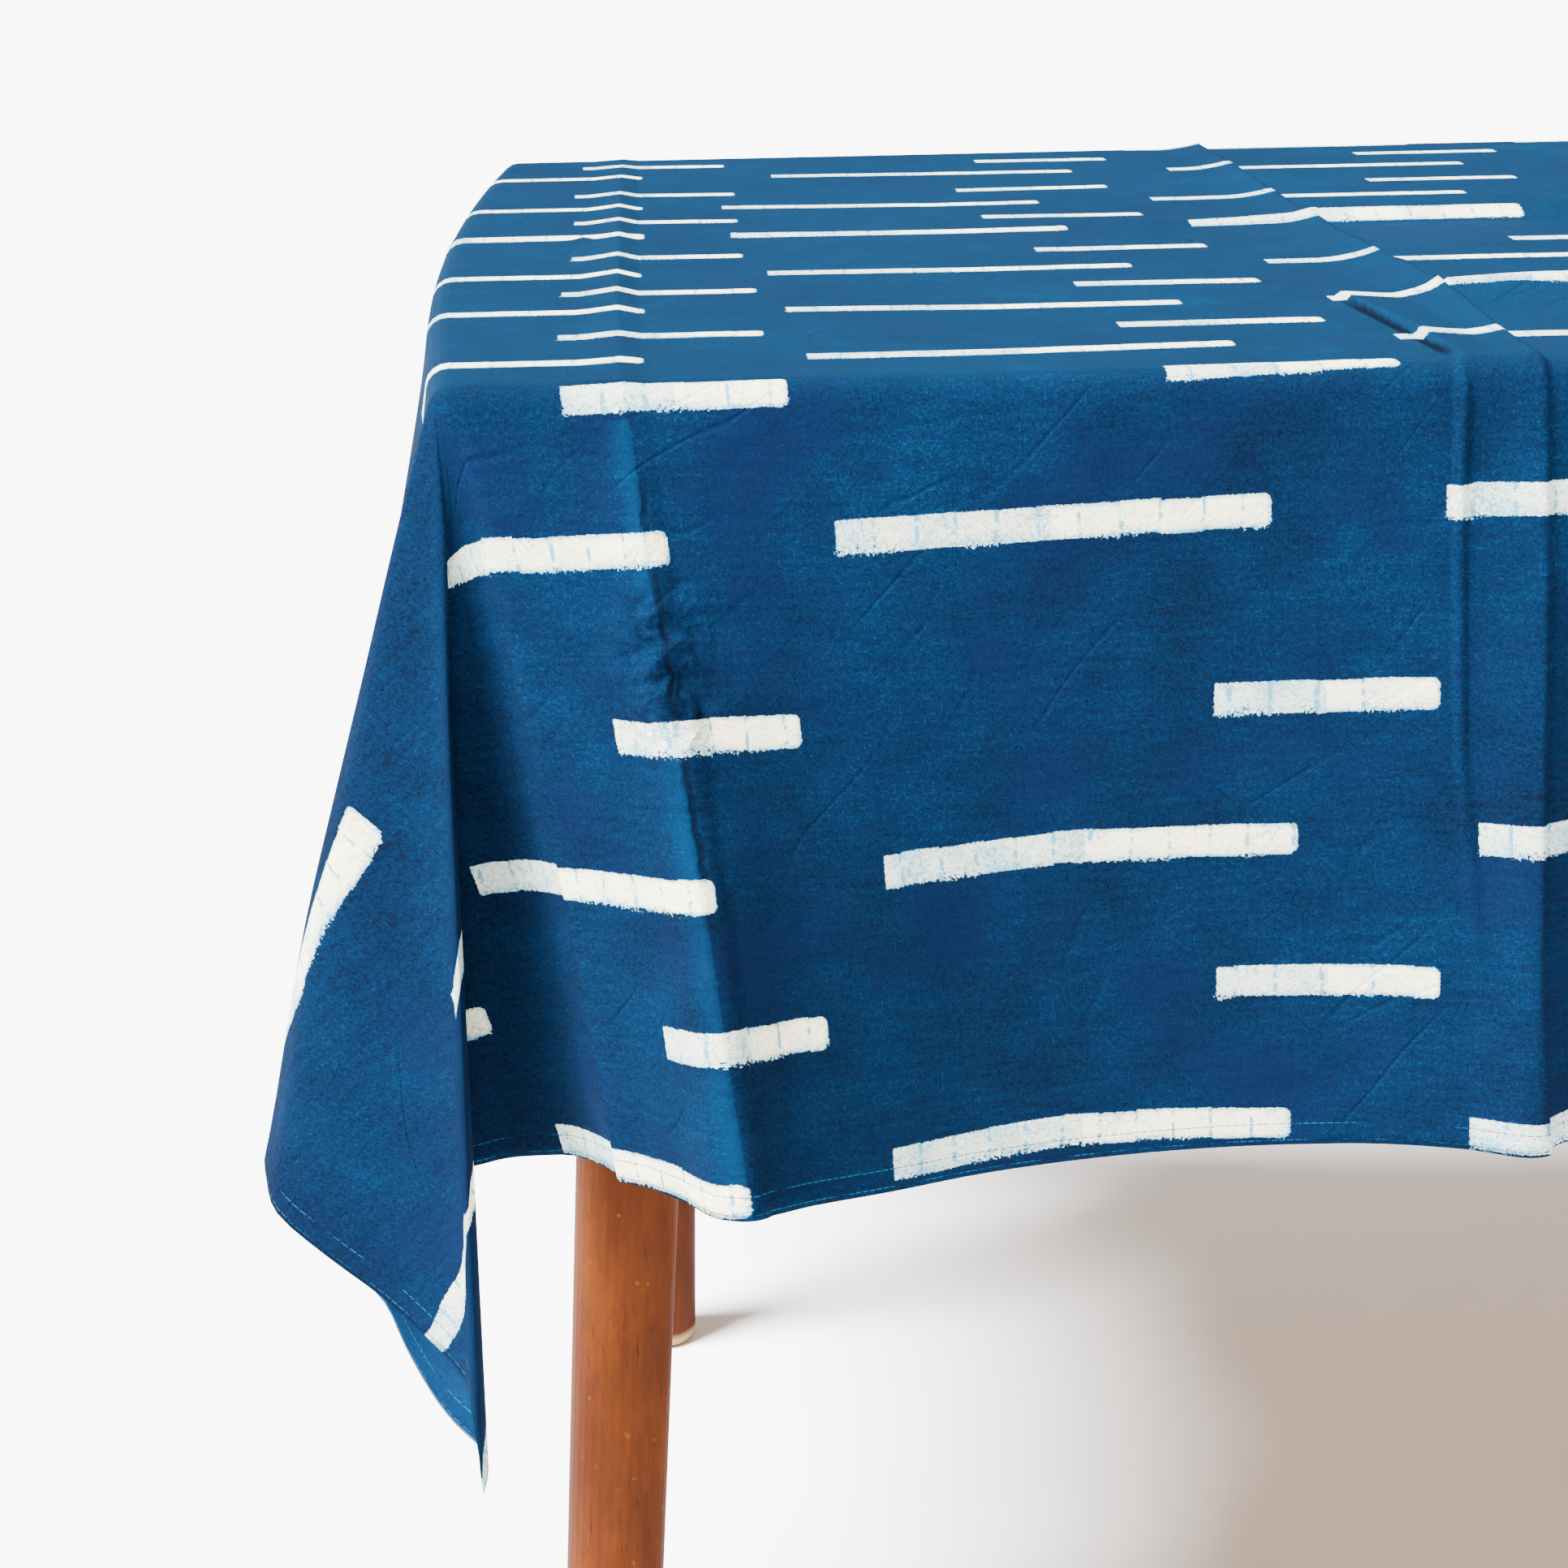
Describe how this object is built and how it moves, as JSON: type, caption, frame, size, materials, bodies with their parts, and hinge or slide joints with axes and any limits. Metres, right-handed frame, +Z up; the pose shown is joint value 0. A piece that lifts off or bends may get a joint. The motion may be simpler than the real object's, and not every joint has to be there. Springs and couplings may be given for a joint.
{
  "type": "tablecloth on a table",
  "caption": "Indigo block-printed cotton tablecloth with pale broken stripes, draped over a plain rectangular table on round, outward-leaning wooden legs.",
  "frame": {"origin": "on the floor, under the middle of the table", "axes": "+X along the table's long side, +Y towards its back, +Z up; the drop that hangs towards -Y is the front"},
  "size_m": [1.7978, 1.0418, 0.7599],
  "materials": {
    "indigo_cotton": "matte",
    "plain_board": "matte",
    "stained_wood": "satin"
  },
  "bodies": {
    "root": {"tablecloth": "indigo_cotton", "table_top": "plain_board", "leg_front_left": "stained_wood", "leg_front_right": "stained_wood", "leg_back_left": "stained_wood", "leg_back_right": "stained_wood"}
  },
  "joints": []
}
